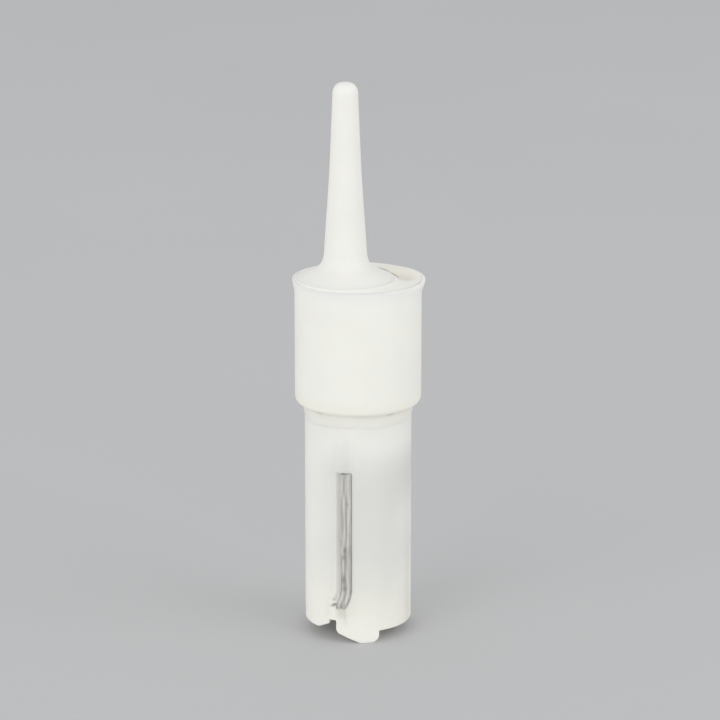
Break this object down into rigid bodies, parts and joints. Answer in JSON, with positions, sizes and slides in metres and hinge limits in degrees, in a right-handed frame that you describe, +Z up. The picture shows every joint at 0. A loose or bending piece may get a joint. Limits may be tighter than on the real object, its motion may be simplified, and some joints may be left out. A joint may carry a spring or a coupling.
{
  "type": "led switch light insert",
  "caption": "Milky plug-in lamp insert with a folded contact lead in a groove, a flared collar and an off-centre tapered light pipe, with an LED and series resistor inside.",
  "frame": {"origin": "on the barrel's axis, in the plane of the collar's lower face, where it seats on the holder", "axes": "+Z up along the barrel towards the light pipe's tip, the front with the LED lead's contact faces -Y, +X to the right"},
  "size_m": [0.0062, 0.0062, 0.0263],
  "materials": {
    "milky_base": "satin milky moulding, slightly yellowed at the bottom",
    "milky_collar": "satin milky moulding, a little warmer",
    "milky_pipe": "satin milky moulding",
    "yellowed_glue": "clear adhesive, yellowed",
    "tinned_lead": "dull tinned",
    "die": "polished die",
    "gold_wire": "fine drawn wire",
    "clear_epoxy": "clear cast epoxy",
    "resistor_ceramic": "unglazed rod",
    "resistor_cap": "pressed cap",
    "resistor_lacquer": "beige lacquer with plain coloured bands",
    "solder": "dull solder",
    "yellowed_resin": "cast resin, yellowed"
  },
  "bodies": {
    "root": {"base_barrel": "milky_base", "collar": "milky_collar", "light_pipe": "milky_pipe", "pipe_glue": "yellowed_glue", "collar_glue": "yellowed_glue", "cathode_lead": "tinned_lead", "anode_lead": "tinned_lead", "led_chip": "die", "bond_wire": "gold_wire", "led_lens": "clear_epoxy", "resistor_core": "resistor_ceramic", "resistor_end_caps": "resistor_cap", "resistor_coat": "resistor_lacquer", "resistor_upper_lead": "tinned_lead", "resistor_lower_lead": "tinned_lead", "splice_solder": "solder", "base_potting": "yellowed_resin"}
  },
  "joints": []
}
